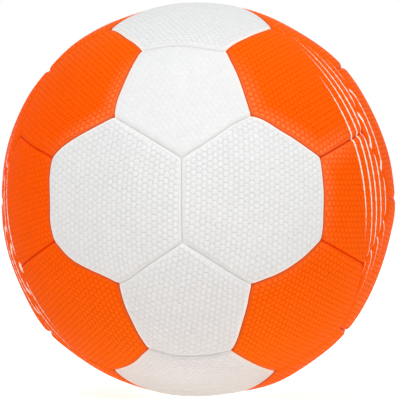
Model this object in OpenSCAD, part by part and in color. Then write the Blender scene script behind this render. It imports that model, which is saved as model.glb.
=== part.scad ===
// Handball of match size 3: a cover of 12 pentagons and 20 hexagons, sewn together and blown up
// tight by a bladder. Lengths are in millimetres and angles in degrees.
// The origin is the ball's centre and +Z is up. The front is -Y, where the seam between the two
// white hexagons of the front runs up and down.

/* [Ball] */
// Girth of the blown-up ball over the crowns of its panels
ball_girth = 590; // [470:1:600]
// How far the middle of a panel's edge lies below its crown
crown_drop = 0.8; // [0.4:0.1:1.4]

/* [Seam] */
// Depth of the groove along a seam, below the edges of its two panels
groove_depth = 1.2; // [0.7:0.1:1.6]
// Width of the rolled shoulder of a panel, from the seam to the crown
shoulder_w = 3; // [2.6:0.1:4]
// Height of the edge that is turned in to be sewn, below the groove
turn_in_h = 3.4; // [3:0.1:4.4]
// Gap between the turned-in edges of two panels
seam_gap = 0.2; // [0.1:0.02:0.4]
// Diameter of the waxed thread between the turned-in edges
thread_d = 0.8; // [0.5:0.05:1.2]
// How far a thread ends before the corner where three seams meet
thread_setback = 0.9; // [0.8:0.1:2]

/* [Layers of a panel] */
// Thickness of the grained outer skin
skin_t = 1.2; // [0.8:0.1:1.5]
// Thickness of the foam under the skin
foam_t = 1.6; // [1:0.1:2]
// Thickness of the woven lining under the foam
lining_t = 1; // [0.5:0.1:1.2]
// Gap of a glued joint
glue_gap = 0.05; // [0.02:0.01:0.08]

/* [Bladder] */
// Wall of the latex bladder
bladder_t = 0.8; // [0.5:0.1:1.5]
// Gap between the bladder and the turned-in edges that press on it
bladder_gap = 0.3; // [0.1:0.05:0.6]

/* [Valve] */
// Diameter of the hole that is punched through a panel for the valve
valve_hole_d = 8; // [7:0.1:11]
// Gap between the valve's neck and the punched hole, and between its foot and the lining
valve_gap = 0.25; // [0.1:0.05:0.4]
// How far the valve's mouth lies below the crown of its panel
valve_sink = 0.6; // [0.3:0.1:1.5]
// Diameter of the foot that joins the valve to the bladder
valve_foot_d = 24; // [18:0.5:32]
// Diameter of the valve's stem inside the bladder
valve_stem_d = 9; // [8:0.1:12]
// Length of the valve's stem inside the bladder
valve_stem_h = 9; // [7:0.5:14]
// Diameter of the soft core in the valve
core_d = 4.4; // [3.6:0.1:5]
// Diameter of the bulb at the core's inner end, which keeps it in
core_bulb_d = 6; // [5.4:0.1:6.8]
// Length of the bulb
core_bulb_h = 3.4; // [2:0.1:5]
// Gap between the core and its seat in the valve
core_gap = 0.05; // [0.02:0.01:0.1]
// Diameter of the bore that takes an inflating needle
needle_d = 2; // [1.6:0.1:2.6]
// Depth of the needle's bore
needle_depth = 9; // [6:0.5:12]
// Diameter of the dimple that leads the needle in
dimple_d = 3.4; // [2.8:0.1:3.6]
// Depth of the dimple
dimple_h = 0.5; // [0.3:0.1:0.8]
// Rounding of the neck's rim at its mouth
neck_round = 0.5; // [0.2:0.1:0.8]

/* [Hidden] */
$fn = 96;
phi = (1 + sqrt(5)) / 2;
white_colour = "#f2f2f0";
orange_colour = "#ff5a08";

// Each row is a panel: its name, its number of sides and the direction of its middle.
// The directions are the corners of an icosahedron for pentagons, and of the dodecahedron
// that fits it for hexagons.
PANELS = [
    ["white_hexagon_front_left", 6, [-1 / phi, -phi, 0]],
    ["white_hexagon_front_right", 6, [1 / phi, -phi, 0]],
    ["white_hexagon_back_left", 6, [-1 / phi, phi, 0]],
    ["white_hexagon_back_right", 6, [1 / phi, phi, 0]],
    ["white_hexagon_top_front", 6, [0, -1 / phi, phi]],
    ["white_hexagon_top_back", 6, [0, 1 / phi, phi]],
    ["white_hexagon_bottom_front", 6, [0, -1 / phi, -phi]],
    ["white_hexagon_bottom_back", 6, [0, 1 / phi, -phi]],
    ["white_pentagon_front_top", 5, [0, -phi, 1]],
    ["white_pentagon_front_bottom", 5, [0, -phi, -1]],
    ["white_pentagon_back_top", 5, [0, phi, 1]],
    ["white_pentagon_back_bottom", 5, [0, phi, -1]],
    ["orange_hexagon_left_top", 6, [-phi, 0, 1 / phi]],
    ["orange_hexagon_left_bottom", 6, [-phi, 0, -1 / phi]],
    ["orange_hexagon_right_top", 6, [phi, 0, 1 / phi]],
    ["orange_hexagon_right_bottom", 6, [phi, 0, -1 / phi]],
    ["orange_hexagon_front_top_left", 6, [-1, -1, 1]],
    ["orange_hexagon_front_top_right", 6, [1, -1, 1]],
    ["orange_hexagon_front_bottom_left", 6, [-1, -1, -1]],
    ["orange_hexagon_front_bottom_right", 6, [1, -1, -1]],
    ["orange_hexagon_back_top_left", 6, [-1, 1, 1]],
    ["orange_hexagon_back_top_right", 6, [1, 1, 1]],
    ["orange_hexagon_back_bottom_left", 6, [-1, 1, -1]],
    ["orange_hexagon_back_bottom_right", 6, [1, 1, -1]],
    ["orange_pentagon_left_front", 5, [-phi, -1, 0]],
    ["orange_pentagon_left_back", 5, [-phi, 1, 0]],
    ["orange_pentagon_right_front", 5, [phi, -1, 0]],
    ["orange_pentagon_right_back", 5, [phi, 1, 0]],
    ["orange_pentagon_top_left", 5, [-1, 0, phi]],
    ["orange_pentagon_top_right", 5, [1, 0, phi]],
    ["orange_pentagon_bottom_left", 5, [-1, 0, -phi]],
    ["orange_pentagon_bottom_right", 5, [1, 0, -phi]],
];
// Row of the panel that the valve comes through
VALVE_PANEL = PANELS[10];

// Radius over the crowns
ball_r = ball_girth / (2 * PI);

// Angle from the middle of a panel to the middle of its side: half of the angle between two
// hexagons, and for a pentagon what that leaves of the angle between it and a hexagon
hexagon_side_angle = acos(sqrt(5) / 3) / 2;
pentagon_side_angle = acos(sqrt((5 + 2 * sqrt(5)) / 15)) - hexagon_side_angle;
function side_angle(sides) = sides == 6 ? hexagon_side_angle : pentagon_side_angle;

// Half of the angle that a side spans, seen from the ball's centre
half_side_angle = atan(sin(hexagon_side_angle) * tan(180 / 6));

// The crown is a sphere smaller than the ball. It touches the ball at the panel's middle, and
// lies crown_drop lower at the middle of each side.
edge_r = ball_r - crown_drop;
function crown_z(sides) =
    (pow(ball_r, 2) - pow(edge_r, 2)) / (2 * (ball_r - edge_r * cos(side_angle(sides))));
function crown_r(sides) = ball_r - crown_z(sides);

// Bottom of the groove, inner end of the turned-in edges and outside of the bladder
groove_r = edge_r - groove_depth;
turn_in_r = groove_r - turn_in_h;
bladder_r = turn_in_r - bladder_gap;
thread_r = groove_r - turn_in_h / 2;

// The rolled shoulder is an arc that falls by groove_depth over shoulder_w
roll_r = (pow(shoulder_w, 2) + pow(groove_depth, 2)) / (2 * groove_depth);
// Where the shoulder's spheres touch that arc, as shares of its width
shoulder_shares = [1 / 3, 2 / 3, 1];

// Half of the angle that a thread spans, and that its channel spans
thread_half_angle = half_side_angle - thread_setback / thread_r * 180 / PI;
channel_half_angle = thread_half_angle + glue_gap / thread_r * 180 / PI;

// Depths below the crown of the top of the foam and the top and bottom of the lining
foam_depth = skin_t + glue_gap;
lining_depth = foam_depth + foam_t + glue_gap;
wall_t = lining_depth + lining_t;

// Longer than anything that it cuts or holds
overrun = 2 * ball_r;

function unit(v) = v / norm(v);

// Direction of the middle of the nearest panel with another number of sides
function neighbour(p) =
    let (w = unit(p[2]),
         others = [for (q = PANELS) if (q[1] != p[1]) unit(q[2])],
         nearest = max([for (o = others) o * w]))
    [for (o = others) if (o * w == nearest) o][0];

// Puts a panel that was made round +Z in its place, with its first side towards that neighbour
module placed(p) {
    w = unit(p[2]);
    n = neighbour(p);
    u = unit(n - (n * w) * w);
    v = cross(w, u);
    multmatrix([
        [u.x, v.x, w.x, 0],
        [u.y, v.y, w.y, 0],
        [u.z, v.z, w.z, 0]
    ])
        children();
}

// Turns a panel's side k so that +Z is square to its seam and points out of the panel
module at_side(sides, k) {
    rotate([0, 0, 360 * k / sides])
        rotate([0, 90 + side_angle(sides), 0])
            children();
}

// Distance from the crown's centre to the plane of a seam
function seam_h(sides) = crown_z(sides) * sin(side_angle(sides));

// Sphere turned so that its poles and its seam lie away from the panel, which leaves them out
// of the panel's faces
module lying_sphere(r) {
    rotate([0, 90, 0])
        sphere(r = r);
}

// Wedge between the turned-in edges of all sides
module edge_wedge(sides, inset) {
    top_h = seam_h(sides) - seam_gap / 2 - inset;
    intersection_for (k = [1 : sides])
        at_side(sides, k)
            translate([-overrun, -overrun, top_h - 2 * overrun])
                cube(2 * overrun);
}

// Sphere that touches the arc of a side's shoulder at a share of its width. Its centre lies on
// the line that runs square to the seam through the crown's centre.
module shoulder_sphere(sides, inset, share) {
    start_h = seam_h(sides) - shoulder_w;
    start_x = sqrt(pow(crown_r(sides), 2) - pow(start_h, 2));
    run = share * shoulder_w;
    slope = asin(run / roll_r);
    x = start_x - roll_r * (1 - cos(slope));
    translate([0, 0, start_h + run - x * tan(slope)])
        sphere(r = x / cos(slope) - inset);
}

// Crown over the wedge of its sides, rolled over at a number of them
module rolled_crown(sides, inset, count) {
    if (count == 0)
        intersection() {
            lying_sphere(crown_r(sides) - inset);
            edge_wedge(sides, inset);
        }
    else
        intersection() {
            rolled_crown(sides, inset, count - 1);
            at_side(sides, count) shoulder_sphere(sides, inset, shoulder_shares[0]);
            at_side(sides, count) shoulder_sphere(sides, inset, shoulder_shares[1]);
            at_side(sides, count) shoulder_sphere(sides, inset, shoulder_shares[2]);
        }
}

// Solid wedge of the ball under one panel, with every face inset from the panel's outside
module panel_form(sides, inset) {
    translate([0, 0, crown_z(sides)])
        rolled_crown(sides, inset, sides);
}

// Sphere that runs along under the crown at a depth
module crown_sphere(sides, depth) {
    translate([0, 0, crown_z(sides)])
        lying_sphere(crown_r(sides) - depth);
}

// Arc of a round tube along the middle of side k, bent round the ball's centre
module side_arc(sides, k, tube_d, half_angle) {
    at_side(sides, k)
        rotate([0, 0, 180 - half_angle])
            rotate_extrude(angle = 2 * half_angle)
                translate([thread_r, 0])
                    circle(d = tube_d);
}

// Channels that the threads lie in, one along each turned-in edge
module thread_channels(sides) {
    for (k = [0 : sides - 1])
        side_arc(sides, k, thread_d + 2 * glue_gap, channel_half_angle);
}

// Hole that the valve's neck comes through
module valve_hole(p) {
    if (p == VALVE_PANEL)
        cylinder(h = overrun, d = valve_hole_d);
}

// Skin of one panel: a crowned dish with its edges rolled and turned in
module cover_panel(p) {
    sides = p[1];
    color(p[0][0] == "w" ? white_colour : orange_colour)
        placed(p)
            difference() {
                panel_form(sides, 0);
                panel_form(sides, skin_t);
                sphere(r = turn_in_r);
                thread_channels(sides);
                valve_hole(p);
            }
}

// Foam that fills the dish under the skin
module foam_pad(p) {
    placed(p)
        difference() {
            panel_form(p[1], foam_depth);
            crown_sphere(p[1], foam_depth + foam_t);
            valve_hole(p);
        }
}

// Lining glued under the foam
module lining(p) {
    placed(p)
        difference() {
            intersection() {
                panel_form(p[1], foam_depth);
                crown_sphere(p[1], lining_depth);
            }
            crown_sphere(p[1], wall_t);
            valve_hole(p);
        }
}

module foam_pads(sides) {
    color("#d9d2bd")
        for (p = PANELS)
            if (p[1] == sides)
                foam_pad(p);
}

module linings(sides) {
    color("#e8e6df")
        for (p = PANELS)
            if (p[1] == sides)
                lining(p);
}

// Thread along the seam between two panels, bent round the ball's centre
module seam_thread(a, b) {
    mid = unit(sin(side_angle(b[1])) * unit(a[2]) + sin(side_angle(a[1])) * unit(b[2]));
    axis = unit(unit(a[2]) - (unit(a[2]) * mid) * mid);
    along = cross(axis, mid);
    multmatrix([
        [mid.x, along.x, axis.x, 0],
        [mid.y, along.y, axis.y, 0],
        [mid.z, along.z, axis.z, 0]
    ])
        rotate([0, 0, -thread_half_angle])
            rotate_extrude(angle = 2 * thread_half_angle)
                translate([thread_r, 0])
                    circle(d = thread_d);
}

// Threads of all seams between panels of these numbers of sides. Neighbours are less than
// 45 degrees apart, and the next panels on are more than 60 degrees away.
module seam_threads(sides_a, sides_b) {
    color("#f4efe2")
        for (i = [0 : len(PANELS) - 1], j = [0 : len(PANELS) - 1]) {
            a = PANELS[i];
            b = PANELS[j];
            facing = a[1] == sides_a && b[1] == sides_b && (sides_a != sides_b || i < j);
            if (facing && unit(a[2]) * unit(b[2]) > cos(60))
                seam_thread(a, b);
        }
}

// Latex bladder, open where the valve's stem passes in
module bladder() {
    color("#3a3634")
        placed(VALVE_PANEL)
            difference() {
                sphere(r = bladder_r);
                sphere(r = bladder_r - bladder_t);
                cylinder(h = overrun, d = valve_stem_d + 2 * glue_gap);
            }
}

// Heights of the valve along the line from the ball's centre through its panel
valve_top_z = ball_r - valve_sink;
foot_top_z = ball_r - wall_t - valve_gap;
stem_top_z = (foot_top_z + bladder_r) / 2;
valve_bottom_z = bladder_r - bladder_t - valve_stem_h;
neck_d = valve_hole_d - 2 * valve_gap;

// Rubber body of the valve: neck, foot between bladder and lining, and stem that enters the foot
module valve_body() {
    color("#e6e4de")
        placed(VALVE_PANEL)
            difference() {
                union() {
                    valve_neck();
                    valve_foot();
                    translate([0, 0, valve_bottom_z])
                        cylinder(h = stem_top_z - valve_bottom_z, d = valve_stem_d);
                }
                core_form(core_gap);
            }
}

// Neck with a rounded rim
module valve_neck() {
    rotate_extrude()
        union() {
            translate([0, bladder_r])
                square([neck_d / 2, valve_top_z - neck_round - bladder_r]);
            translate([0, bladder_r])
                square([neck_d / 2 - neck_round, valve_top_z - bladder_r]);
            translate([neck_d / 2 - neck_round, valve_top_z - neck_round])
                circle(r = neck_round);
        }
}

// Foot: a disc that follows the bladder below and the lining above
module valve_foot() {
    difference() {
        intersection() {
            crown_sphere(VALVE_PANEL[1], wall_t + valve_gap);
            cylinder(h = overrun, d = valve_foot_d);
        }
        sphere(r = bladder_r + glue_gap);
    }
}

// Outside of the core, grown by a gap for its seat
module core_form(gap) {
    translate([0, 0, valve_bottom_z])
        cylinder(h = valve_top_z - valve_bottom_z, d = core_d + 2 * gap);
    translate([0, 0, valve_bottom_z])
        cylinder(h = core_bulb_h + gap, d = core_bulb_d + 2 * gap);
}

// Soft core that seals round the needle
module valve_core() {
    color("#2b2a29")
        placed(VALVE_PANEL)
            difference() {
                core_form(0);
                translate([0, 0, valve_top_z - dimple_h])
                    cylinder(h = overrun, d = dimple_d);
                translate([0, 0, valve_top_z - dimple_h - needle_depth])
                    cylinder(h = overrun, d = needle_d);
            }
}

for (p = PANELS) cover_panel(p);
foam_pads(6);  // hexagon_foam_pads
foam_pads(5);  // pentagon_foam_pads
linings(6);  // hexagon_linings
linings(5);  // pentagon_linings
seam_threads(6, 6);  // hexagon_seam_threads
seam_threads(5, 6);  // pentagon_seam_threads
bladder();
valve_body();
valve_core();
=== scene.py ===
import math

import bmesh
import bpy
import numpy as np
from mathutils import Matrix, Vector


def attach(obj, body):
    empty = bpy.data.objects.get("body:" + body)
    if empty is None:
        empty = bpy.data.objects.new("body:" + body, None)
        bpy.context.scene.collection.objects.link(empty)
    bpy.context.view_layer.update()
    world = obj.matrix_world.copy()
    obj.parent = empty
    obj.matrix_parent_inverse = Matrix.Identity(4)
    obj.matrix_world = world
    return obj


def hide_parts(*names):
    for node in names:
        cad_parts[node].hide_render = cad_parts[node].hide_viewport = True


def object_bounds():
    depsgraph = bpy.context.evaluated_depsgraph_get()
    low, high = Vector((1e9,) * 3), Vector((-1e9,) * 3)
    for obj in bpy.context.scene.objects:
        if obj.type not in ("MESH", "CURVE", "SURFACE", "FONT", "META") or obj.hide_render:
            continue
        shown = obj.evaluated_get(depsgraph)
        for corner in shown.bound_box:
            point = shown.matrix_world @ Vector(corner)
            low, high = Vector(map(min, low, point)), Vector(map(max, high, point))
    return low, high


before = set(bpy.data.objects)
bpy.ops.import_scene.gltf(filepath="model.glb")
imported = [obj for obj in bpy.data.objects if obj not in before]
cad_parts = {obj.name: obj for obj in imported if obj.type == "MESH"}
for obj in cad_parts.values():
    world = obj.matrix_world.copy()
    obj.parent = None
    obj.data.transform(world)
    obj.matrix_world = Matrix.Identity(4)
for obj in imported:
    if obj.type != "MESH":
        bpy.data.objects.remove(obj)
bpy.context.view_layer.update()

MM = 0.001

# Ball and seams, as in the solids
BALL_GIRTH = 590 * MM
CROWN_DROP = 0.8 * MM
GROOVE_DEPTH = 1.2 * MM
SHOULDER_W = 3 * MM
TURN_IN_H = 3.4 * MM
SEAM_GAP = 0.2 * MM
THREAD_D = 0.8 * MM
SKIN_T = 1.2 * MM
FOAM_T = 1.6 * MM
GLUE_GAP = 0.05 * MM
VALVE_HOLE_D = 8 * MM

# The skins bulge towards each other, so the open groove is shallower and narrower than in the
# solids. Its sides fall with this power of the way down the shoulder.
LIP_DEPTH = 1.3 * MM
LIP_SLOPE = 2.6
LIP_GAP = 0.05 * MM
# Part of that depth where two colours meet, as those panels lie tighter against each other
EDGE_DEPTH_SHARE = 0.55
# Power that blends the shoulders of two seams at a corner
CORNER_POWER = 4
# Rounding of the rim of the valve's hole, and of the edges of the foam
HOLE_ROUND = 0.45 * MM
FOAM_ROUND = 0.5 * MM
# Points round the valve's hole, and turns of its rounded rim, in degrees
HOLE_STEPS = 96
RIM_TURNS = (20, 40, 60, 80)
VALVE_PANEL = "white_pentagon_back_top"

# Pebbled grain: distance between pebbles, and depth of the grooves between them
PEBBLE_PITCH = 2.8 * MM
PEBBLE_DEPTH = 0.17 * MM
# Least part of that depth on a pebble, and by how much it varies
DEPTH_LEAST, DEPTH_SPREAD = 0.85, 0.3
# Part of that depth by which a pebble's top is domed
DOME_SHARE = 0.4
# Where the groove round a pebble starts, from its middle at 0 to its border at 1
PEBBLE_EDGE_SHARE = 0.78
# Radii of a pebble's rings as shares of half the pitch, towards a neighbour and towards a corner
OUTER_RING_SHARES = (0.8, 0.9)
INNER_RING_SHARE = 0.55
# The grain fades from full to none between these distances from a seam, or from the valve's hole
GRAIN_FADE = (1.8 * MM, 0.3 * MM)
# First seed of the panels' random numbers, and how many pebbles both ways have a tone of their own
GRAIN_SEED = 1000
TONE_CELLS = 61
# Usual turns of the grain in degrees, by the panel's number of sides
USUAL_TURNS = {6: (26, 34), 5: (0, 60)}

# Width of the border of a panel where its pebbles get a painted highlight
BORDER_W = 9 * MM

# Width of the strip of a panel beside its seams that is made of rings round the panel
EDGE_STRIP_W = 1.0 * MM
STRIP_SHARES = (0.72, 0.5, 0.33, 0.2, 0.1)
# Below the lip, a panel keeps one point of this many
THIN_EVERY = 5
# Turns round the thread's channel in degrees, and rings of the underside, from edge to middle
CHANNEL_TURNS = (0, 45, 90, 135, 180)
UNDER_SHARES = (0, 0.02, 0.05, 0.2, 0.4, 0.6, 0.8)

# Foam pads: points along a side, rings from the middle to the edge, and turns round the soft edge
PAD_STEPS = 14
PAD_SHARES = (0.97, 0.85, 0.7, 0.55, 0.4, 0.25, 0.12, 0.05)
PAD_TURNS = (60, 30, 0, -30, -60)

# Lengths that count as none: for a division, and for a cut through the mesh
NO_LENGTH = 1e-12
CUT_MERGE = 1e-7

# Panels whose pebbles are worn flatter, and the part of their depth that is left
WORN = {"white_pentagon_front_top": 0.45}

# Turn of the grain on a panel in degrees, from the side that faces its first neighbour
GRAIN_TURNS = {
    "white_hexagon_front_left": 27.5,
    "white_hexagon_front_right": 27.5,
    "white_pentagon_front_top": 26,
    "white_pentagon_front_bottom": 3.5,
    "orange_hexagon_front_top_right": 31,
    "orange_hexagon_front_top_left": 26,
    "orange_hexagon_front_bottom_left": 34,
    "orange_hexagon_front_bottom_right": 29.5,
    "orange_pentagon_right_front": 47.5,
}

PHI = (1 + math.sqrt(5)) / 2
AXES = {
    "front": (0, -1, 0),
    "back": (0, 1, 0),
    "left": (-1, 0, 0),
    "right": (1, 0, 0),
    "top": (0, 0, 1),
    "bottom": (0, 0, -1),
}

BALL_R = BALL_GIRTH / (2 * math.pi)
EDGE_R = BALL_R - CROWN_DROP
GROOVE_R = EDGE_R - GROOVE_DEPTH
TURN_IN_R = GROOVE_R - TURN_IN_H
THREAD_R = GROOVE_R - TURN_IN_H / 2
FOAM_DEPTH = SKIN_T + GLUE_GAP
# Radius up to which the form keeps to the solids: just outside the threads
FIXED_R = THREAD_R + THREAD_D / 2 + 0.1 * MM

# Angle from the middle of a panel to the middle of its side
HEXAGON_SIDE_ANGLE = math.acos(math.sqrt(5) / 3) / 2
PENTAGON_SIDE_ANGLE = math.acos(math.sqrt((5 + 2 * math.sqrt(5)) / 15)) - HEXAGON_SIDE_ANGLE
SIDE_ANGLES = {6: HEXAGON_SIDE_ANGLE, 5: PENTAGON_SIDE_ANGLE}


def crown_z(sides):
    """Height of the crown's centre over the ball's centre."""
    drop = BALL_R**2 - EDGE_R**2
    return drop / (2 * (BALL_R - EDGE_R * math.cos(SIDE_ANGLES[sides])))


def crown_r(sides):
    return BALL_R - crown_z(sides)


# Panels

# Digits to which panels that lie as near as each other count as equal
NEARNESS_DIGITS = 6
PANELS = sorted(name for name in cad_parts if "_hexagon_" in name or "_pentagon_" in name)


def shape_of(panel):
    """The panel's number of sides."""
    return 6 if "_hexagon_" in panel else 5


def colour_of(panel):
    return panel.split("_")[0]


def direction(panel):
    """Direction of the panel's middle, which its name spells out."""
    words = panel.split("_")[2:]
    second_share = 1 / PHI if shape_of(panel) == 6 else 1
    weights = (1, 1, 1) if len(words) == 3 else (PHI, second_share)
    return sum((w * Vector(AXES[word]) for w, word in zip(weights, words)), Vector()).normalized()


def placing(panel):
    """Turns a panel made round +Z into its place. Its side 0 faces a panel of the other shape."""
    w = direction(panel)
    others = [direction(other) for other in PANELS if shape_of(other) != shape_of(panel)]
    nearest = max(others, key=lambda other: round(other.dot(w), NEARNESS_DIGITS))
    u = (nearest - nearest.dot(w) * w).normalized()
    return Matrix((u, w.cross(u), w)).transposed()


def side_turns(sides):
    return np.arange(sides) * 2 * math.pi / sides


def sides_to_other_colour(panel):
    """For each side of the panel, 1 if the panel beyond has the other colour, else 0."""
    alpha = SIDE_ANGLES[shape_of(panel)]
    flat = math.sin(alpha)
    others = [other for other in PANELS if other != panel]
    flags = []
    for turn in side_turns(shape_of(panel)):
        seam = Vector((flat * math.cos(turn), flat * math.sin(turn), math.cos(alpha)))
        seam = placing(panel) @ seam
        beyond = max(others, key=lambda other: direction(other).dot(seam))
        flags.append(float(colour_of(beyond) != colour_of(panel)))
    return np.array(flags)


# Camera, from the photograph's perspective

VIEW_AZIMUTH = math.radians(4.32)
VIEW_ELEVATION = math.radians(0.18)
VIEW_ROLL = math.radians(-0.55)
VIEW_DISTANCE = 1.45
CLIP_START = 0.05
SENSOR_W = 36
PICTURE_W = 400
FOCAL_PX = 3033
MIDDLE_PX = (197.32, 199.47)

sight = Vector(
    (
        math.sin(VIEW_AZIMUTH) * math.cos(VIEW_ELEVATION),
        -math.cos(VIEW_AZIMUTH) * math.cos(VIEW_ELEVATION),
        math.sin(VIEW_ELEVATION),
    )
)
camera = bpy.data.objects.new("camera", bpy.data.cameras.new("camera"))
camera.data.sensor_width = SENSOR_W
camera.data.lens = FOCAL_PX / PICTURE_W * SENSOR_W
camera.data.shift_x = (PICTURE_W / 2 - MIDDLE_PX[0]) / PICTURE_W
camera.data.shift_y = (MIDDLE_PX[1] - PICTURE_W / 2) / PICTURE_W
camera.data.clip_start = CLIP_START
roll = Matrix.Rotation(VIEW_ROLL, 4, "Z")
facing = sight.to_track_quat("Z", "Y").to_matrix().to_4x4()
camera.matrix_world = Matrix.Translation(VIEW_DISTANCE * sight) @ facing @ roll
bpy.context.scene.collection.objects.link(camera)
bpy.context.scene.camera = camera

# Form of the blown-up cover: its panels are flatter than the ball, and the hand-sewn seams wander

# How far the cover rises over the ball's sphere between panels, and sinks in at their middles
SEAM_RISE = 0.3 * MM
MIDDLE_SINKS = {6: 0.7 * MM, 5: 0.3 * MM}
MIDDLE_SPREAD = 16 * MM

# Places of seams in the picture, in pixels, and how far the real seam lies to the right and below
SEAM_SHIFTS = [
    (169, 49, 0, -2.6), (186, 49, 0, -2.1), (172, 351, 0, 3.8), (189, 351, 0, 4.6),
    (205, 351, 0.2, 4.3), (218, 350, 0.8, 3.6), (274, 368, 0.4, 1.1), (241, 122, -0.6, -1.1),
    (149, 136, 0.6, 0.9), (232, 272, -0.5, 1), (114, 116, -1.7, -0.5), (52, 160, -0.2, -1.7),
    (116, 285, 1.4, 0), (53, 242, 1.3, -1.3), (252, 115, 0, 0.3), (320, 158, 0.5, 0.3),
    (254, 284, -0.7, 1.4), (320, 240, 0.3, -0.3), (228, 50, -1.3, 0.2), (146, 350, 1.4, 0),
    (114, 371, 0.5, -0.7), (231, 349, 1.1, 1.5), (144, 52, -3.2, -1.2), (106, 122, -1.1, -1.1),
    (94, 129, -0.9, -1.4), (81, 137, -1.6, -2.4), (69, 146, -1.9, -3), (59, 154, -1.8, -2.9),
    (108, 280, 0.7, -1.2), (96, 273, 0, 0), (82, 265, -0.8, 1.2), (70, 256, -1.1, 1.7),
    (60, 249, 0.1, 0.1), (51, 170, -1.4, -0.3), (49, 184, -0.6, 0.7), (49, 201, 0, 0),
    (50, 218, -0.4, -1), (51, 232, -0.5, -0.9), (261, 120, 1.3, -2), (273, 127, 0.5, -0.6),
    (288, 135, 0.4, -0.7), (301, 144, 0.2, 0), (312, 151, 0.4, 0), (262, 279, 0.8, 1.5),
    (275, 272, 2.2, 3.2), (289, 263, 2.3, 3.5), (302, 254, 1.9, 2.9), (313, 247, 1, 1.4),
    (322, 168, 0.7, 0.2), (323, 182, 0.9, 0), (323, 199, 1.3, -0.1), (323, 216, 0.8, 0),
    (322, 230, 1.5, 0.2), (139, 46, -2.4, -1.3), (133, 41, -1.3, -0.5), (126, 36, -0.3, 0.5),
    (119, 33, 0.4, -0.1), (233, 45, -0.7, -1), (241, 40, -0.1, -0.3), (251, 35, 0, 0.3),
    (260, 31, 0.2, 0.9), (142, 354, 0.3, 0.4), (136, 359, 1, 1.4), (129, 364, 0.9, 1.4),
    (122, 368, 0.7, 0.3), (236, 354, 1, 1.8), (244, 359, 0.3, 0.9), (254, 364, -0.3, 0.7),
    (263, 367, -0.1, 0.8), (119, 107, -3.5, -1.5), (123, 95, -3.8, -1.4), (129, 81, -3.7, -1.4),
    (135, 68, -3.7, -1.3), (140, 58, -3.5, -1.1), (248, 106, 0.8, 1.5), (245, 94, 0.3, 1.6),
    (240, 80, 0, 0.2), (235, 67, -0.8, -0.1), (230, 57, -1, 0.7), (120, 294, 0.3, -0.6),
    (125, 306, -0.5, 0), (131, 320, -0.2, 0.1), (137, 333, 0, 0.4), (143, 343, 0.6, 0.6),
    (250, 293, -0.2, 0.8), (247, 305, 0.7, 0.7), (242, 319, 1.5, 0.6), (237, 332, 2.1, 0.8),
    (233, 342, 2.8, 1.7), (394, 196.5, 0, 3.2),
]
# Places on the picture's outline, as turns in degrees from its right, and how far they bulge
OUTLINE_BULGES = [
    (75, -0.2), (104, -0.45), (110, -0.6), (116, -0.1), (123, 0.45), (130, 0.75), (138, 0.3),
    (145, 0.6), (153, 0.65), (162, 0.45), (170, -0.15), (180, -0.85), (190, -0.2), (200, 0.2),
    (211, 0.6), (220, 1.3), (229, 0.5), (238, 0.15), (246, -0.1), (253, -0.4), (285, 0.15),
    (292, 1.1), (304, 0.95), (316, 1.15), (325, 0.7), (333, 0.35), (340, 0.1), (346, 0.0),
    (351, 0.05), (357, 0.45), (5, -0.1), (20, 0.0), (33, -0.15), (42, 0.15), (60, -0.5),
]
# Reach of such places, and how closely the form follows them
SEAM_REACH = 8 * MM
OUTLINE_REACH = 11 * MM
WANDER_EASE = 0.03
# Nearest that a place that stays lies to one that moves
WANDER_CLEAR = 13 * MM
# Points that are moved at a time
WANDER_CHUNK = 4000
# Panels whose middles are less than this far apart touch
TOUCHING = math.cos(math.radians(45))


def smooth(share):
    return share * share * (3 - 2 * share)


def on_ball(x, y):
    """The point of the ball that shows at this place in the picture."""
    away = Vector((x - MIDDLE_PX[0], MIDDLE_PX[1] - y, -FOCAL_PX)).normalized()
    away = camera.matrix_world.to_3x3() @ away
    eye = camera.matrix_world.translation
    along = -eye.dot(away)
    miss = eye.length_squared - along**2
    return eye + away * (along - math.sqrt(max(BALL_R**2 - miss, 0)))


def on_outline(degrees):
    """The point of the ball on its outline in the picture, at this turn from the right."""
    a = math.radians(degrees)
    aside = camera.matrix_world.to_3x3() @ Vector((math.cos(a), math.sin(a), 0))
    lean = math.asin(BALL_R / VIEW_DISTANCE)
    return BALL_R * (math.cos(lean) * aside + math.sin(lean) * sight)


def still_places():
    """Middles of the panels and of the seams, and corners where three panels meet."""
    middles = [direction(panel) for panel in PANELS]
    near = [(a, b) for n, a in enumerate(middles) for b in middles[:n] if a.dot(b) > TOUCHING]
    places = middles + [(a + b).normalized() for a, b in near]
    for a, b in near:
        for c in middles:
            if c not in (a, b) and min(c.dot(a), c.dot(b)) > TOUCHING:
                places.append((a + b + c).normalized())
    return [BALL_R * place for place in places]


def wander_field():
    """Places that steer the form, how far each one reaches and the weights by which it moves it."""
    places, moves = [], []
    for x, y, right, below in SEAM_SHIFTS:
        places.append(on_ball(x, y))
        moves.append(on_ball(x + right, y + below) - places[-1])
    for degrees, bulge in OUTLINE_BULGES:
        places.append(on_outline(degrees))
        moves.append(places[-1].normalized() * bulge * MM)
    moving = len(places)
    reaches = [SEAM_REACH] * len(SEAM_SHIFTS) + [OUTLINE_REACH] * len(OUTLINE_BULGES)
    for place in still_places():
        if min((place - other).length for other in places[:moving]) > WANDER_CLEAR:
            places.append(place)
            moves.append(Vector())
            reaches.append(OUTLINE_REACH)
    places, moves, reaches = np.array(places), np.array(moves), np.array(reaches)
    apart = np.linalg.norm(places[:, None] - places[None], axis=2)
    pull = np.exp(-((apart / reaches) ** 2) / 2) + WANDER_EASE * np.eye(len(places))
    return places, reaches, np.linalg.solve(pull, moves)


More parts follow.
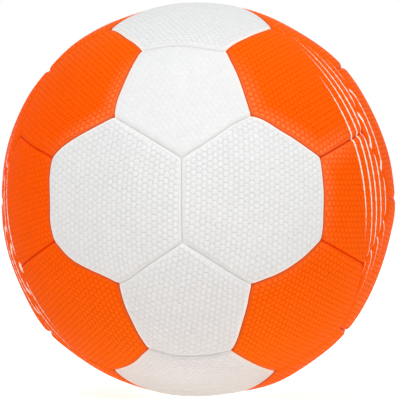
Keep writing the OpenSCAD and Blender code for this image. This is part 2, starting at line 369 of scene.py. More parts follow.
def wander(points):
    """Moves points of the cover as the real form lies, down to the seams' threads."""
    radii = np.linalg.norm(points, axis=1)
    fade = smooth(np.clip((radii - FIXED_R) / (GROOVE_R - FIXED_R), 0, 1))
    moved = points.copy()
    on_sphere = points * (BALL_R / radii)[:, None]
    for first in range(0, len(points), WANDER_CHUNK):
        part = slice(first, first + WANDER_CHUNK)
        apart = on_sphere[part, None] - WANDER_PLACES[None]
        pull = np.exp(-(apart**2).sum(2) / (2 * WANDER_REACHES**2))
        moved[part] += (pull @ WANDER_WEIGHTS) * fade[part, None]
    out = points / radii[:, None]
    rise = np.full(len(points), SEAM_RISE)
    for panel in PANELS:
        apart = BALL_R * (out - np.array(direction(panel)))
        sink = np.exp(-(apart**2).sum(1) / (2 * MIDDLE_SPREAD**2))
        rise -= MIDDLE_SINKS[shape_of(panel)] * sink
    return moved + out * (rise * fade)[:, None]


WANDER_PLACES, WANDER_REACHES, WANDER_WEIGHTS = wander_field()


def ring(sides, azimuths, radius, centre_z, inset):
    """Points at these azimuths on a sphere round (0, 0, centre_z), that far in from the seams."""
    alpha = SIDE_ANGLES[sides]
    step = 2 * math.pi / sides
    off_side = np.abs((azimuths + step / 2) % step - step / 2)
    rise = radius * math.sin(alpha)
    run = radius * math.cos(alpha) * np.cos(off_side)
    target = (inset - math.sin(alpha) * centre_z) / np.hypot(rise, run)
    polar = np.arccos(np.clip(target, -1, 1)) - np.arctan2(run, rise)
    flat = radius * np.sin(polar)
    return np.column_stack(
        (flat * np.cos(azimuths), flat * np.sin(azimuths), centre_z + radius * np.cos(polar))
    )


def seam_normals(sides):
    """Normals of the seam planes, which point out of the panel."""
    alpha = SIDE_ANGLES[sides]
    turns = side_turns(sides)
    flat = math.cos(alpha)
    return np.column_stack(
        (flat * np.cos(turns), flat * np.sin(turns), np.full(sides, -math.sin(alpha)))
    )


def pebble_lattice(reach, turn):
    """Pebbles over a disc in the plane: points, and faces as tuples of indices.

    Each pebble has a middle, an inner ring of 6, an outer ring of 12 and a border of 12 points
    that it shares with its neighbours.
    """
    # Border points in sixths of the lattice steps, round the pebble: towards a neighbour, a corner
    border_steps = [(3, 0), (2, 2), (0, 3), (-2, 4), (-3, 3), (-4, 2)]
    border_steps += [(-i, -j) for i, j in border_steps]
    steps = PEBBLE_PITCH * np.array([(1, 0), (0.5, math.sqrt(3) / 2)])
    # Rows lie closer than the pitch, so more of them than its count cover the disc
    count = int(reach / PEBBLE_PITCH * 1.2) + 2
    span = np.arange(-count, count + 1)
    cells = np.array([(i, j) for i in span for j in span])
    middles = cells @ steps
    inside = np.hypot(*middles.T) < reach
    cells, middles = cells[inside], middles[inside]

    keys = (6 * cells[:, None, :] + np.array(border_steps)).reshape(-1, 2)
    borders, border_ids = np.unique(keys, axis=0, return_inverse=True)
    border_ids = border_ids.reshape(-1, 12)
    twelfths = np.arange(12) * math.pi / 6
    outer_r = PEBBLE_PITCH / 2 * np.array(OUTER_RING_SHARES * 6)
    outer = np.column_stack((outer_r * np.cos(twelfths), outer_r * np.sin(twelfths)))
    inner_r = PEBBLE_PITCH / 2 * INNER_RING_SHARE
    inner = inner_r * np.column_stack((np.cos(twelfths[::2]), np.sin(twelfths[::2])))
    shape = np.vstack((outer, inner, [(0, 0)]))
    points = np.vstack((borders @ steps / 6, (middles[:, None, :] + shape).reshape(-1, 2)))

    faces = []
    for n, border in enumerate(border_ids):
        first = len(borders) + n * len(shape)
        middle = first + 18
        for k in range(12):
            after = (k + 1) % 12
            faces.append((border[k], border[after], first + after, first + k))
        for k in range(6):
            here, after = first + 12 + k, first + 12 + (k + 1) % 6
            ring_ids = first + 2 * k, first + 2 * k + 1, first + (2 * k + 2) % 12
            faces.append((ring_ids[0], ring_ids[1], here))
            faces.append((ring_ids[1], after, here))
            faces.append((ring_ids[1], ring_ids[2], after))
            faces.append((here, after, middle))
    c, s = math.cos(turn), math.sin(turn)
    return points @ np.array([(c, s), (-s, c)]), faces


def grain_at(flat, turn):
    """How far down its pebble each point of the plane lies, 0 at the top and 1 in the groove, and
    the pebble's number along both steps."""
    c, s = math.cos(turn), math.sin(turn)
    unturned = flat @ np.array([(c, -s), (s, c)])
    j = unturned[:, 1] / (PEBBLE_PITCH * math.sqrt(3) / 2)
    i = unturned[:, 0] / PEBBLE_PITCH - j / 2
    cube = np.column_stack((i, j, -i - j))
    cell = np.round(cube)
    worst = np.abs(cube - cell).argmax(1)
    rows = np.arange(len(cell))
    cell[rows, worst] -= cell.sum(1)
    off_i, off_j = cube[:, 0] - cell[:, 0], cube[:, 1] - cell[:, 1]
    across = np.abs(np.column_stack((off_i + off_j / 2, off_i / 2 + off_j, (off_i - off_j) / 2)))
    share = np.clip(2 * across.max(1), 0, 1)
    groove = np.clip((share - PEBBLE_EDGE_SHARE) / (1 - PEBBLE_EDGE_SHARE), 0, 1)
    return DOME_SHARE * share**2 + (1 - DOME_SHARE) * groove, cell[:, :2].astype(int)


def relief(points, panel, turn, tones):
    """Rolls points of the crown down at the seams and sinks the grooves of the grain.

    Returns the points, and for each one how deep in a groove it is, how far down the shoulder
    (of any seam, and of one to the other colour), how light its pebble is and how near the
    panel's border.
    """
    sides = shape_of(panel)
    centre = np.array((0, 0, crown_z(sides)))
    radius = crown_r(sides)
    out = (points - centre) / radius
    polar = np.arccos(np.clip(out[:, 2], -1, 1))
    azimuth = np.arctan2(out[:, 1], out[:, 0])
    flat = radius * polar[:, None] * np.column_stack((np.cos(azimuth), np.sin(azimuth)))
    down, cell = grain_at(flat, turn)
    down *= WORN.get(panel, 1)

    from_seams = -points @ seam_normals(sides).T
    rolls = np.clip(1 - from_seams / SHOULDER_W, 0, 1)
    roll = np.minimum((rolls**CORNER_POWER).sum(1) ** (1 / CORNER_POWER), 1)
    to_other = sides_to_other_colour(panel)
    edge = (rolls * to_other).max(1)
    falls = rolls**LIP_SLOPE * (1 - (1 - EDGE_DEPTH_SHARE) * to_other)
    round_off = CORNER_POWER / LIP_SLOPE
    drop = LIP_DEPTH * np.minimum((falls**round_off).sum(1) ** (1 / round_off), 1)
    clear = from_seams.min(1)
    if panel == VALVE_PANEL:
        clear = np.minimum(clear, radius * polar - VALVE_HOLE_D / 2)
    fade = smooth(np.clip((clear - GRAIN_FADE[1]) / (GRAIN_FADE[0] - GRAIN_FADE[1]), 0, 1))
    tone = tones[cell[:, 0] % TONE_CELLS, cell[:, 1] % TONE_CELLS]
    depth = PEBBLE_DEPTH * (DEPTH_LEAST + DEPTH_SPREAD * tone) * down * fade
    from_middle = points / np.linalg.norm(points, axis=1)[:, None]
    moved = from_middle * (BALL_R - drop - depth)[:, None]
    border = np.clip(1 - clear / BORDER_W, 0, 1)
    shades = {"cavity": down * fade, "seam": roll, "edge": edge, "tone": tone, "border": border}
    return moved, shades


def cut_lattice(sides, turn, reach):
    """The pebbles on the crown, cut off EDGE_STRIP_W from the seams: points, faces, border loop."""
    flat, faces = pebble_lattice(reach, turn)
    radius = crown_r(sides)
    distance = np.maximum(np.hypot(*flat.T), NO_LENGTH)
    polar = distance / radius
    aside = flat / distance[:, None] * np.sin(polar)[:, None]
    points = radius * np.column_stack((aside, np.cos(polar)))
    points[:, 2] += crown_z(sides)
    mesh = bpy.data.meshes.new("lattice")
    mesh.from_pydata(points.tolist(), [], [tuple(map(int, face)) for face in faces])
    bm = bmesh.new()
    bm.from_mesh(mesh)
    bpy.data.meshes.remove(mesh)
    for normal in seam_normals(sides):
        everything = bm.verts[:] + bm.edges[:] + bm.faces[:]
        bmesh.ops.bisect_plane(
            bm,
            geom=everything,
            dist=CUT_MERGE,
            plane_co=-EDGE_STRIP_W * normal,
            plane_no=normal,
            clear_outer=True,
        )
    bm.verts.index_update()
    after = {}
    for edge in bm.edges:
        if edge.is_boundary:
            loop = edge.link_loops[0]
            after[loop.vert.index] = loop.link_loop_next.vert.index
    start = min(after)
    border = [start]
    while after[border[-1]] != start:
        border.append(after[border[-1]])
    points = np.array([v.co for v in bm.verts])
    faces = [tuple(v.index for v in face.verts) for face in bm.faces]
    bm.free()
    return points, faces, np.array(border)


def band(outer, inner):
    """Quads between two rings of as many points."""
    return [
        (int(outer[k - 1]), int(outer[k]), int(inner[k]), int(inner[k - 1]))
        for k in range(len(outer))
    ]


def thinning_band(outer, inner, kept):
    """Faces between a ring and one that has only the points of it that were kept."""
    faces = []
    count = len(outer)
    for m, first in enumerate(kept):
        after = (m + 1) % len(kept)
        last = kept[after] if after else count + kept[0]
        steps = range(first, last)
        faces += [
            (int(outer[k % count]), int(outer[(k + 1) % count]), int(inner[m])) for k in steps
        ]
        faces.append((int(outer[last % count]), int(inner[after]), int(inner[m])))
    return faces


def kept_points(azimuths, sides, every):
    """Indices of every few points of a ring, and always of those at its corners."""
    step = 2 * math.pi / sides
    side = np.floor((azimuths + step / 2) / step).astype(int) % sides
    corners = {k for k in range(len(side)) if side[k] != side[k - 1]}
    return [k for k in range(len(side)) if k in corners or k % every == 0]


def new_object(name, points, faces, attributes=None, sharp=math.radians(50)):
    mesh = bpy.data.meshes.new(name)
    mesh.from_pydata([tuple(map(float, p)) for p in points], [], faces)
    for key, values in (attributes or {}).items():
        layer = mesh.attributes.new(key, "FLOAT", "POINT")
        layer.data.foreach_set("value", np.asarray(values, np.float32))
    mesh.update()
    mesh.shade_smooth()
    mesh.set_sharp_from_angle(angle=sharp)
    made = bpy.data.objects.new(name, mesh)
    bpy.context.scene.collection.objects.link(made)
    return made


def cut_hole(piece, profile, direction_out):
    """Cuts a turned shape out of a piece. Its profile lists radius and height, from below."""
    turns = np.arange(HOLE_STEPS) * 2 * math.pi / HOLE_STEPS
    points = [(r * math.cos(a), r * math.sin(a), z) for r, z in profile for a in turns]
    rows = [np.arange(HOLE_STEPS) + n * HOLE_STEPS for n in range(len(profile))]
    faces = [tuple(map(int, rows[0][::-1])), tuple(map(int, rows[-1]))]
    for low, high in zip(rows, rows[1:]):
        faces += band(low, high)
    cutter = new_object("cutter", points, faces)
    cutter.matrix_world = direction_out.to_track_quat("Z", "Y").to_matrix().to_4x4()
    modifier = piece.modifiers.new("hole", "BOOLEAN")
    modifier.operation = "DIFFERENCE"
    modifier.solver = "EXACT"
    modifier.object = cutter
    bpy.context.view_layer.update()
    evaluated = piece.evaluated_get(bpy.context.evaluated_depsgraph_get())
    cut = bpy.data.meshes.new_from_object(evaluated)
    piece.modifiers.clear()
    piece.data = cut
    bpy.data.objects.remove(cutter)


def shoulder_fall(inset):
    """How far the solids' shoulder falls, that far in from a seam."""
    share = min(max(1 - inset / SHOULDER_W, 0), 1)
    return GROOVE_DEPTH * (1 - math.sqrt(1 - share**2))


def cover_panel(panel, number):
    """One panel of the cover: pebbled skin, rolled shoulders, turned-in edges and underside."""
    sides = shape_of(panel)
    rng = np.random.default_rng(GRAIN_SEED + number)
    usual_turn = rng.uniform(*USUAL_TURNS[sides])
    turn = math.radians(GRAIN_TURNS.get(panel, usual_turn))
    tones = rng.random((TONE_CELLS, TONE_CELLS))
    radius, centre_z = crown_r(sides), crown_z(sides)
    corner = ring(sides, np.array([math.pi / sides]), radius, centre_z, 0)[0]
    reach = radius * math.acos((corner[2] - centre_z) / radius) + PEBBLE_PITCH
    points, faces, border = cut_lattice(sides, turn, reach)
    azimuths = np.arctan2(points[border, 1], points[border, 0])

    rings = [points]
    total = len(points)
    outer = border
    for inset in (*(EDGE_STRIP_W * share for share in STRIP_SHARES), LIP_GAP / 2):
        rings.append(ring(sides, azimuths, radius, centre_z, inset))
        inner = np.arange(total, total + len(border))
        faces += band(inner, outer)
        outer = inner
        total += len(border)
    points, shades = relief(np.vstack(rings), panel, turn, tones)

    kept = kept_points(azimuths, sides, THIN_EVERY)
    thin = azimuths[kept]
    channel_r = THREAD_D / 2 + GLUE_GAP
    channel = [math.radians(a) for a in CHANNEL_TURNS]
    wall = [(THREAD_R + channel_r * math.cos(a), channel_r * math.sin(a)) for a in channel]
    wall.append((TURN_IN_R, 0))
    rings = [ring(sides, thin, r, 0, max(inset, SEAM_GAP / 2)) for r, inset in wall]
    rings.append(ring(sides, thin, TURN_IN_R, 0, SEAM_GAP / 2 + SKIN_T))
    inner_r = radius - SKIN_T
    apex_inset = math.sin(SIDE_ANGLES[sides]) * (centre_z + inner_r)
    low_inset = SEAM_GAP / 2 + SKIN_T
    centre = np.array((0, 0, centre_z))
    for share in UNDER_SHARES:
        inset = low_inset + share * (apex_inset - low_inset)
        under = ring(sides, thin, inner_r, centre_z, inset)
        rings.append(centre + (under - centre) * (1 - shoulder_fall(inset) / inner_r))
    for n in range(len(rings)):
        inner = np.arange(total, total + len(thin))
        if n == 0:
            faces += [face[::-1] for face in thinning_band(outer, inner, kept)]
        else:
            faces += band(inner, outer)
        outer = inner
        total += len(thin)
    apex = np.array([(0, 0, centre_z + inner_r)])
    faces += [(int(outer[k - 1]), total, int(outer[k])) for k in range(len(outer))]
    hidden = total + 1 - len(points)
    points = np.vstack([points, *rings, apex])
    points = wander(points @ np.array(placing(panel)).T)
    attributes = {key: np.append(values, np.ones(hidden)) for key, values in shades.items()}
    cover = new_object("cover_" + panel, points, faces, attributes)
    if panel == VALVE_PANEL:
        hole_r = VALVE_HOLE_D / 2
        rim_z = centre_z + math.sqrt(radius**2 - (hole_r + HOLE_ROUND) ** 2)
        profile = [(hole_r, centre_z + inner_r - SKIN_T), (hole_r, rim_z - HOLE_ROUND)]
        for degrees in RIM_TURNS:
            a = math.radians(degrees)
            across, up = 1 - math.cos(a), math.sin(a)
            profile.append((hole_r + HOLE_ROUND * across, rim_z - HOLE_ROUND * (1 - up)))
        profile.append((hole_r + HOLE_ROUND, rim_z + SKIN_T))
        cut_hole(cover, profile, direction(panel))
    return cover


def foam_pad(panel):
    """One pad of foam: a crowned sheet with soft edges, under the skin of a panel."""
    sides = shape_of(panel)
    radius, centre_z = crown_r(sides), crown_z(sides)
    azimuths = np.arange(sides * PAD_STEPS) * 2 * math.pi / (sides * PAD_STEPS)
    edge = SEAM_GAP / 2 + FOAM_DEPTH
    top_r, low_r = radius - FOAM_DEPTH - GLUE_GAP / 2, radius - FOAM_DEPTH - FOAM_T + GLUE_GAP / 2
    reach = math.sin(SIDE_ANGLES[sides]) * (centre_z + low_r) - edge
    centre = np.array((0, 0, centre_z))

    def sheet(sheet_r, inset, rolled):
        at = ring(sides, azimuths, sheet_r, centre_z, inset)
        fall = shoulder_fall(inset) if rolled else 0
        return centre + (at - centre) * (1 - fall / sheet_r)

    rings = [sheet(top_r, edge + share * reach, True) for share in PAD_SHARES]
    middle_r, half_t = (top_r + low_r) / 2, (top_r - low_r) / 2
    for degrees in PAD_TURNS:
        a = math.radians(degrees)
        inset = edge + FOAM_ROUND * (1 - math.cos(a))
        rings.append(sheet(middle_r + half_t * math.sin(a), inset, degrees > 0))
    rings += [sheet(low_r, edge + share * reach, False) for share in PAD_SHARES[::-1]]
    apexes = [(0, 0, centre_z + top_r), (0, 0, centre_z + low_r)]
    count = len(azimuths)
    rows = [np.arange(count) + n * count for n in range(len(rings))]
    top, low = len(rings) * count, len(rings) * count + 1
    faces = []
    for inner, outer in zip(rows, rows[1:]):
        faces += band(outer, inner)
    faces += [(int(rows[0][k - 1]), int(rows[0][k]), top) for k in range(count)]
    faces += [(int(rows[-1][k]), int(rows[-1][k - 1]), low) for k in range(count)]
    points = wander(np.vstack([*rings, apexes]) @ np.array(placing(panel)).T)
    pad = new_object("pad_" + panel, points, faces)
    if panel == VALVE_PANEL:
        hole_r = VALVE_HOLE_D / 2
        profile = [(hole_r, centre_z + low_r - FOAM_T), (hole_r, centre_z + top_r + FOAM_T)]
        cut_hole(pad, profile, direction(panel))
    return pad


def foam_pads(name, sides):
    """The pads of all panels of one shape as one object."""
    points, faces = [], []
    for panel in PANELS:
        if shape_of(panel) != sides:
            continue
        pad = foam_pad(panel)
        first = len(points)
        points += [tuple(v.co) for v in pad.data.vertices]
        faces += [tuple(first + v for v in face.vertices) for face in pad.data.polygons]
        bpy.data.objects.remove(pad)
    return new_object(name, points, faces)


# Materials


def new_material(name):
    """A material, with its tree and its Principled shader."""
    material = bpy.data.materials.new(name)
    material.use_nodes = True
    tree = material.node_tree
    return material, tree, tree.nodes["Principled BSDF"]


def add(tree, kind, *inputs, **settings):
    """A node with these settings, whose first inputs are values or other nodes' sockets."""
    made = tree.nodes.new("ShaderNode" + kind)
    for key, value in settings.items():
        setattr(made, key, value)
    for socket, value in zip(made.inputs, inputs):
        if isinstance(value, bpy.types.NodeSocket):
            tree.links.new(value, socket)
        elif value is not None:
            socket.default_value = value
    return made


def maths(tree, operation, *inputs, clamp=False):
    return add(tree, "Math", *inputs, operation=operation, use_clamp=clamp).outputs[0]


def blend_colour(tree, share, low, high, kind="MIX"):
    """Colour between low and high by share."""
    made = tree.nodes.new("ShaderNodeMix")
    made.data_type = "RGBA"
    made.blend_type = kind
    for name, value in (("Factor", share), ("A", low), ("B", high)):
        socket = [s for s in made.inputs if s.name == name and s.enabled][0]
        if isinstance(value, bpy.types.NodeSocket):
            tree.links.new(value, socket)
        else:
            socket.default_value = value
    return [s for s in made.outputs if s.enabled][0]


def attribute(tree, name):
    return add(tree, "Attribute", attribute_name=name).outputs["Fac"]


def place(tree):
    """The point's place in the row frame, in metres."""
    return add(tree, "TexCoord").outputs["Object"]


def dot(tree, at, vector):
    return add(tree, "VectorMath", at, vector, operation="DOT_PRODUCT").outputs["Value"]


def noise(tree, scale, detail=3.0):
    made = add(tree, "TexNoise")
    tree.links.new(place(tree), made.inputs["Vector"])
    made.inputs["Scale"].default_value = scale
    made.inputs["Detail"].default_value = detail
    return made.outputs["Fac"]


# Colours of each skin: on the pebbles, painted shade in their grooves, a painted highlight on
# pebbles beside the seams, painted light on the white lips of the seams and painted shade on the
# orange ones, painted shade in the seams, deeper painted shade in those low on the ball, and
# painted light on the white and painted shade on the orange beside the other colour
WHITES = {
    "plain": (0.75, 0.755, 0.76, 1),
    "groove": (0.74, 0.745, 0.75, 1),
    "highlight": (0.765, 0.77, 0.775, 1),
    "lip": (0.77, 0.765, 0.755, 1),
    "seam": (0.73, 0.725, 0.71, 1),
    "deep": (0.46, 0.455, 0.44, 1),
    "edge": (0.99, 0.90, 0.81, 1),
}
ORANGES = {
    "plain": (0.97, 0.089, 0.0, 1),
    "groove": (0.88, 0.071, 0.0, 1),
    "highlight": (0.97, 0.188, 0.046, 1),
    "lip": (0.81, 0.052, 0.0, 1),
    "seam": (0.72, 0.034, 0.0, 1),
    "deep": (0.60, 0.03, 0.0, 1),
    "edge": (0.58, 0.088, 0.027, 1),
}
# Paler orange of the painted light
ORANGE_LIT = (0.99, 0.16, 0.004, 1)
STRIPE = (0.96, 0.82, 0.71, 1)

# Painted light: the orange is painted paler a little to the right, and up and down from the ball's
# waist
LIT_START, LIT_RIGHT, LIT_UP, LIT_POLES = 0.24, 0.13, -0.26, 0.81
# A painted highlight makes the pebbles paler beside the seams round this direction, below this
# height
HIGHLIGHT_AIM = (0.13, -0.91, 0.38)
HIGHLIGHT_RANGE = (0.6, 0.82)
HIGHLIGHT_HEIGHT = (0.72, 0.52)
HIGHLIGHT_GAIN = 1.3
# Painted shade in the seams is deeper towards the bottom, and a little deeper towards the top
DEEP_HEIGHT = (0.62, 0.78)
DEEP_TOP_SHARE = 0.3
# Powers that narrow each colour to its place, the highest to the bottom of the seams
GROOVE_POWER, LIP_POWER, SEAM_POWER, DEEP_POWER, EDGE_POWER = 1.5, 6.0, 16.0, 10.0, 3.2
# The skin's shade in clouds and from pebble to pebble: how far it varies, and its least value
CLOUD_SCALE, CLOUD_SPREAD, CLOUD_LEAST = 45, 0.06, 0.97
TONE_SPREAD, TONE_LEAST = 0.03, 0.985
# Relief of the skin's pores, and the part of it that pores have beside the grooves
PORE_SCALE, PORE_SHARE = 5000, 0.036
SKIN_RELIEF = 0.2 * MM

# Fine white stripes on the orange sides: longitude to the right and half length, in degrees
STRIPE_TILT = 15
STRIPES = [
    (59, 24), (62.5, 34), (65.5, 42), (69, 38), (73, 30), (-67, 28), (-70.5, 40), (-74, 34),
]
STRIPE_HALF_W = 0.6 * MM
STRIPE_SOFT_W = 0.3 * MM


def stripe_share(tree):
    """1 on the stripes, which run along the longitudes of a ball whose poles lean to the left."""
    tilt = math.radians(STRIPE_TILT)
    at = place(tree)
    side = dot(tree, at, (math.cos(tilt), 0, math.sin(tilt)))
    up = dot(tree, at, (-math.sin(tilt), 0, math.cos(tilt)))
    ahead = add(tree, "SeparateXYZ", at).outputs["Y"]
    longitude = maths(tree, "ARCTAN2", side, maths(tree, "ABSOLUTE", ahead))
    latitude = maths(tree, "ARCSINE", maths(tree, "DIVIDE", up, BALL_R))
    total = None
    for degrees, half_length in STRIPES:
        off = maths(tree, "SUBTRACT", longitude, math.radians(degrees))
        off = maths(tree, "MULTIPLY", maths(tree, "ABSOLUTE", off), BALL_R)
        length = maths(tree, "DIVIDE", latitude, math.radians(half_length))
        taper = maths(tree, "SUBTRACT", 1.0, maths(tree, "MULTIPLY", length, length))
        left = maths(tree, "SUBTRACT", maths(tree, "MULTIPLY", taper, STRIPE_HALF_W), off)
        share = maths(tree, "MULTIPLY_ADD", left, 1 / STRIPE_SOFT_W, 0.5, clamp=True)
        total = share if total is None else maths(tree, "MAXIMUM", total, share)
    return total


def ramp(tree, value, start, end):
    """0 up to the start and 1 from the end on."""
    scale = 1 / (end - start)
    return maths(tree, "MULTIPLY_ADD", value, scale, -start * scale, clamp=True)


def along(tree, vector):
    """How far the point lies along a direction, in shares of the ball's radius."""
    return dot(tree, place(tree), tuple(part / BALL_R for part in vector))


def orange_with_painted_light(tree):
    """Orange painted paler across the ball, where it stands in for more light."""
    height = along(tree, (0, 0, 1))
    share = maths(tree, "ADD", along(tree, (LIT_RIGHT, 0, LIT_UP)), LIT_START)
    poles = maths(tree, "MULTIPLY", maths(tree, "MULTIPLY", height, height), LIT_POLES)
    share = maths(tree, "ADD", share, poles, clamp=True)
    return blend_colour(tree, share, ORANGES["plain"], ORANGE_LIT)


def painted_highlight_share(tree, cavity):
    """1 on the tops of pebbles beside seams, where a highlight is painted."""
    share = maths(tree, "MULTIPLY", attribute(tree, "border"), HIGHLIGHT_GAIN, clamp=True)
    share = maths(tree, "MULTIPLY", share, ramp(tree, along(tree, HIGHLIGHT_AIM), *HIGHLIGHT_RANGE))
    share = maths(tree, "MULTIPLY", share, ramp(tree, along(tree, (0, 0, 1)), *HIGHLIGHT_HEIGHT))
    return maths(tree, "MULTIPLY", share, maths(tree, "MULTIPLY_ADD", cavity, -1.0, 1.0))


def painted_seam_shade_share(tree):
    """1 on the seams low on the ball, and less on those high up: where painted shade is deepest."""
    height = along(tree, (0, 0, 1))
    low = ramp(tree, maths(tree, "MULTIPLY", height, -1.0), *DEEP_HEIGHT)
    high = maths(tree, "MULTIPLY", ramp(tree, height, *DEEP_HEIGHT), DEEP_TOP_SHARE)
    seam = maths(tree, "POWER", attribute(tree, "seam"), DEEP_POWER)
    return maths(tree, "MULTIPLY", seam, maths(tree, "MAXIMUM", low, high))


def skin_material(name, colours, stripes):
    """Pebbled polyurethane: painted shade in the grooves and seams, painted highlights on pebbles
    beside the seams, painted light and shade on the seams' lips, and a fine pore relief.
    """
    material, tree, shader = new_material(name)
    cavity = attribute(tree, "cavity")
    seam = attribute(tree, "seam")
    colour = orange_with_painted_light(tree) if stripes else colours["plain"]
    layers = (
        # Painted highlight on the pebbles beside the seams
        ("highlight", painted_highlight_share(tree, cavity)),
        # Painted shade in the grooves between pebbles
        ("groove", maths(tree, "POWER", cavity, GROOVE_POWER)),
        # Painted light on the white lips of the seams, painted shade on the orange ones
        ("lip", maths(tree, "POWER", seam, LIP_POWER)),
        # Painted shade in the seams
        ("seam", maths(tree, "POWER", seam, SEAM_POWER)),
        # More painted shade in the seams low on the ball
        ("deep", painted_seam_shade_share(tree)),
        # Painted light on the white and painted shade on the orange beside the other colour
        ("edge", maths(tree, "POWER", attribute(tree, "edge"), EDGE_POWER)),
    )
    for key, share in layers:
        colour = blend_colour(tree, share, colour, colours[key])
    if stripes:
        colour = blend_colour(tree, stripe_share(tree), colour, STRIPE)
    cloud = maths(tree, "MULTIPLY_ADD", noise(tree, CLOUD_SCALE), CLOUD_SPREAD, CLOUD_LEAST)
    tone = maths(tree, "MULTIPLY_ADD", attribute(tree, "tone"), TONE_SPREAD, TONE_LEAST)
    shade = maths(tree, "MULTIPLY", cloud, tone)
    grey = add(tree, "CombineColor", shade, shade, shade).outputs[0]
    colour = blend_colour(tree, 1.0, colour, grey, kind="MULTIPLY")
    tree.links.new(colour, shader.inputs["Base Color"])
    rough(tree, shader, scale=900, low=0.38, spread=0.16)
    shader.inputs["Specular IOR Level"].default_value = 0.01
    height = maths(tree, "MULTIPLY", cavity, -1.0)
    pores = noise(tree, PORE_SCALE, detail=2.0)
    height = maths(tree, "MULTIPLY_ADD", pores, PORE_SHARE, height)
    bumped(tree, shader, height, depth=SKIN_RELIEF, strength=1.0)
    return material


def clouded(tree, colour, scale, spread):
    """A colour that drifts darker in clouds."""
    dark = tuple(c * (1 - spread) for c in colour[:3]) + (1,)
    return blend_colour(tree, noise(tree, scale), dark, colour)


def bumped(tree, shader, height, depth, strength=0.6):
    bump = add(tree, "Bump")
    bump.inputs["Strength"].default_value = strength
    bump.inputs["Distance"].default_value = depth
    tree.links.new(height, bump.inputs["Height"])
    tree.links.new(bump.outputs[0], shader.inputs["Normal"])


def rough(tree, shader, scale, low, spread):
    amount = maths(tree, "MULTIPLY_ADD", noise(tree, scale), spread, low)
    tree.links.new(amount, shader.inputs["Roughness"])


def foam_material():
    """Closed-cell foam: small cells of two sizes, matt and slightly yellowed."""
    material, tree, shader = new_material("foam")
    cells = add(tree, "TexVoronoi", feature="SMOOTH_F1")
    tree.links.new(place(tree), cells.inputs["Vector"])
    cells.inputs["Scale"].default_value = 1700
    pits = cells.outputs["Distance"]
    colour = clouded(tree, (0.72, 0.66, 0.52, 1), scale=60, spread=0.1)
    colour = blend_colour(tree, maths(tree, "POWER", pits, 2.0), colour, (0.55, 0.49, 0.37, 1))
    tree.links.new(colour, shader.inputs["Base Color"])
    rough(tree, shader, scale=300, low=0.75, spread=0.2)
    shader.inputs["Specular IOR Level"].default_value = 0.2
    bumped(tree, shader, pits, depth=0.12 * MM)
    return material


WEAVE_PITCH = 0.7 * MM


def lining_material():
    """Woven polyester-cotton: threads over and under each other."""
    material, tree, shader = new_material("lining")
    xyz = add(tree, "SeparateXYZ", place(tree))
    waves = [
        maths(tree, "SINE", maths(tree, "MULTIPLY", axis, 2 * math.pi / WEAVE_PITCH))
        for axis in xyz.outputs
    ]
    pairs = [maths(tree, "MULTIPLY", waves[k - 1], waves[k]) for k in range(len(waves))]
    weave = maths(tree, "ADD", maths(tree, "ADD", pairs[0], pairs[1]), pairs[2])
    weave = maths(tree, "MULTIPLY_ADD", weave, 0.3, 0.5, clamp=True)
    colour = clouded(tree, (0.80, 0.79, 0.74, 1), scale=50, spread=0.08)
    colour = blend_colour(tree, weave, (0.60, 0.59, 0.54, 1), colour)
    tree.links.new(colour, shader.inputs["Base Color"])
    rough(tree, shader, scale=800, low=0.78, spread=0.15)
    shader.inputs["Specular IOR Level"].default_value = 0.2
    shader.inputs["Sheen Weight"].default_value = 0.15
    bumped(tree, shader, weave, depth=0.15 * MM)
    return material


def thread_material():
    """Waxed polyester thread: fine twisted fibres with the wax's shine."""
    material, tree, shader = new_material("seam_thread")
    fibres = add(tree, "TexWave", wave_type="BANDS", bands_direction="DIAGONAL")
    tree.links.new(place(tree), fibres.inputs["Vector"])
    fibres.inputs["Scale"].default_value = 900
    fibres.inputs["Distortion"].default_value = 2
    twist = fibres.outputs["Fac"]
    colour = clouded(tree, (0.85, 0.82, 0.74, 1), scale=200, spread=0.12)
    colour = blend_colour(tree, twist, (0.70, 0.66, 0.57, 1), colour)
    tree.links.new(colour, shader.inputs["Base Color"])
    rough(tree, shader, scale=700, low=0.38, spread=0.2)
    shader.inputs["Specular IOR Level"].default_value = 0.5
    bumped(tree, shader, twist, depth=0.06 * MM)
    return material


def rubber_material(name, colour, dust, low_rough, grain):
    """Moulded rubber: a fine matt grain, with some dust of talc or bloom on it."""
    material, tree, shader = new_material(name)
    shade = clouded(tree, colour, scale=120, spread=0.15)
    patches = maths(tree, "MULTIPLY", noise(tree, 260, detail=5.0), dust[3])
    shade = blend_colour(tree, patches, shade, dust[:3] + (1,))
    tree.links.new(shade, shader.inputs["Base Color"])
    rough(tree, shader, scale=400, low=low_rough, spread=0.2)
    shader.inputs["Specular IOR Level"].default_value = 0.4
    pores = noise(tree, 1 / grain, detail=2.0)
    bumped(tree, shader, pores, depth=0.05 * MM, strength=0.4)
    return material


SKINS = {
    "white_skin": skin_material("white_skin", WHITES, stripes=False),
    "orange_skin": skin_material("orange_skin", ORANGES, stripes=True),
}
for number, panel in enumerate(PANELS):
    cover = cover_panel(panel, number)
    colour = colour_of(panel) + "_skin"
    cover.data.materials.append(SKINS[colour])
    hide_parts(panel)
    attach(cover, "root")

foam = foam_material()
for name, sides in (("hexagon_foam_pads", 6), ("pentagon_foam_pads", 5)):
    pads = foam_pads("soft_" + name, sides)
    pads.data.materials.append(foam)
    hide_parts(name)
    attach(pads, "root")

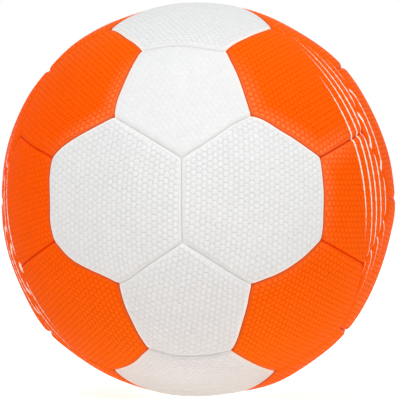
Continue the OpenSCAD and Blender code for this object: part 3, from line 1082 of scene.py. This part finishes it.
lining = lining_material()
thread = thread_material()
INNER_MATERIALS = {
    "hexagon_linings": lining,
    "pentagon_linings": lining,
    "hexagon_seam_threads": thread,
    "pentagon_seam_threads": thread,
    "bladder": rubber_material(
        "latex", (0.05, 0.045, 0.04, 1), (0.32, 0.30, 0.28, 0.35), 0.45, 0.5 * MM
    ),
    "valve_body": rubber_material(
        "valve_rubber", (0.78, 0.77, 0.73, 1), (0.62, 0.60, 0.55, 0.4), 0.4, 0.3 * MM
    ),
    "valve_core": rubber_material(
        "valve_core", (0.03, 0.03, 0.03, 1), (0.10, 0.10, 0.10, 0.4), 0.45, 0.3 * MM
    ),
}
for name, material in INNER_MATERIALS.items():
    for held in bpy.data.objects[name].material_slots:
        held.material = material

# Floor, light and background

WORLD_LIGHT = 0.37
FLOOR_SIZE = 12
FLOOR_COLOUR = (0.95, 0.915, 0.88, 1)
FLOOR_THROUGH = (0.94, 0.935, 0.915, 1)
FLOOR_TRANSLUCENCE = 0.4
# How far the floor is seen lifted to white: near the ball, where its shadow stays, and far from it.
# The lift grows between these distances from the ball's centre.
FLOOR_LIFT, FLOOR_FAR_LIFT = 0.35, 1.15
FLOOR_FAR = (0.09, 0.35)
# How far the lamp for the ball's underside lies under the floor
GLOW_DEPTH = 0.08


def seen_share(tree):
    """1 on rays that show the background, straight or in a shine or through the table."""
    path = add(tree, "LightPath").outputs
    others = maths(tree, "MAXIMUM", path["Is Glossy Ray"], path["Is Transmission Ray"])
    return maths(tree, "MAXIMUM", path["Is Camera Ray"], others)


# The background is white where it is seen, and its walls light the ball more softly
world = bpy.data.worlds.new("studio")
world.use_nodes = True
bpy.context.scene.world = world
background = world.node_tree.nodes["Background"]
background.inputs["Color"].default_value = (1, 1, 1, 1)
strength = maths(world.node_tree, "MAXIMUM", seen_share(world.node_tree), WORLD_LIGHT)
world.node_tree.links.new(strength, background.inputs["Strength"])

half = FLOOR_SIZE / 2
floor_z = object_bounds()[0].z
floor = new_object(
    "floor",
    [(x * half, y * half, floor_z) for x, y in ((-1, -1), (1, -1), (1, 1), (-1, 1))],
    [(0, 1, 2, 3)],
)
floor_material, floor_tree, floor_shader = new_material("floor")
floor_shader.inputs["Base Color"].default_value = FLOOR_COLOUR
floor_shader.inputs["Roughness"].default_value = 0.9
floor_shader.inputs["Specular IOR Level"].default_value = 0.1
floor_shader.inputs["Emission Color"].default_value = (1, 1, 1, 1)
distance = add(floor_tree, "VectorMath", place(floor_tree), operation="LENGTH").outputs["Value"]
lift = ramp(floor_tree, distance, *FLOOR_FAR)
lift = maths(floor_tree, "MULTIPLY_ADD", lift, FLOOR_FAR_LIFT - FLOOR_LIFT, FLOOR_LIFT)
lift = maths(floor_tree, "MULTIPLY", seen_share(floor_tree), lift)
floor_tree.links.new(lift, floor_shader.inputs["Emission Strength"])
# The table top is translucent, so that the soft light under it reaches the ball's underside
through = add(floor_tree, "BsdfTranslucent", FLOOR_THROUGH).outputs[0]
mixed = add(floor_tree, "MixShader", FLOOR_TRANSLUCENCE, floor_shader.outputs[0], through)
surface = floor_tree.nodes["Material Output"].inputs["Surface"]
floor_tree.links.new(mixed.outputs[0], surface)
floor.data.materials.append(floor_material)


def lamp(name, place, size, power, aim=(0, 0, 0)):
    """A square soft box that faces a point."""
    light = bpy.data.lights.new(name, "AREA")
    light.shape = "SQUARE"
    light.size = size
    light.energy = power
    made = bpy.data.objects.new(name, light)
    made.location = place
    made.rotation_euler = (Vector(place) - Vector(aim)).to_track_quat("Z", "Y").to_euler()
    bpy.context.scene.collection.objects.link(made)
    return made


lamp("key", (-0.6, -1.3, 1.5), size=0.9, power=21.3)
lamp("top", (0.1, -0.5, 1.9), size=1.0, power=4.6)
lamp("side", (1.6, -0.8, 0.9), size=0.8, power=11.7)
lamp("table", (0, -0.3, -1.3), size=1.6, power=7.8, aim=(0, -0.3, 0))
glow = lamp("glow", (0, 0, floor_z - GLOW_DEPTH), size=0.08, power=0.055)
glow.data.color = (1, 0.70, 0.50)

bpy.context.scene.view_settings.view_transform = "Standard"
